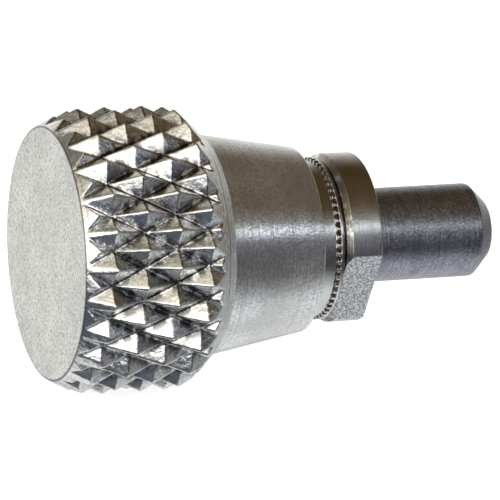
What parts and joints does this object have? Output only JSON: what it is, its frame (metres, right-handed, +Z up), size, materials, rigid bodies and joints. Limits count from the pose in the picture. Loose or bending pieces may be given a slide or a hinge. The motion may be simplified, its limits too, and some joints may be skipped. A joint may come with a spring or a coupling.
{
  "type": "spring plunger",
  "caption": "Spring-loaded pull plunger with a diamond-knurled knob, flatted collar sleeve and chamfered locking pin.",
  "frame": {"origin": "centre of the seat face, the underside of the sleeve's collar", "axes": "+X along the plunger's axis, out through the locking pin's nose, with the pull knob towards -X; +Z up as it lies in the picture"},
  "size_m": [0.0313, 0.0192, 0.0192],
  "materials": {
    "knob_aluminium": "turned and knurled, bright",
    "sleeve_steel": "polished barrel, milled flats",
    "pin_steel": "ground, satin",
    "spring_steel": "drawn wire"
  },
  "bodies": {
    "sleeve": {"guide_sleeve": "sleeve_steel"},
    "spring": {"compression_spring": "spring_steel"},
    "plunger": {"knob": "knob_aluminium", "plunger_pin": "pin_steel"}
  },
  "joints": [
    {"name": "knob_spin", "type": "hinge", "parent": "sleeve", "child": "spring", "pos_m": [0, 0, 0], "axis": [-1, 0, 0], "continuous": true},
    {"name": "plunger_pull", "type": "slide", "parent": "spring", "child": "plunger", "axis": [-1, 0, 0], "range_m": [0, 0.006], "stiffness_N_per_m": 1400, "springref_m": -0.005, "deforming": ["compression_spring"]}
  ]
}
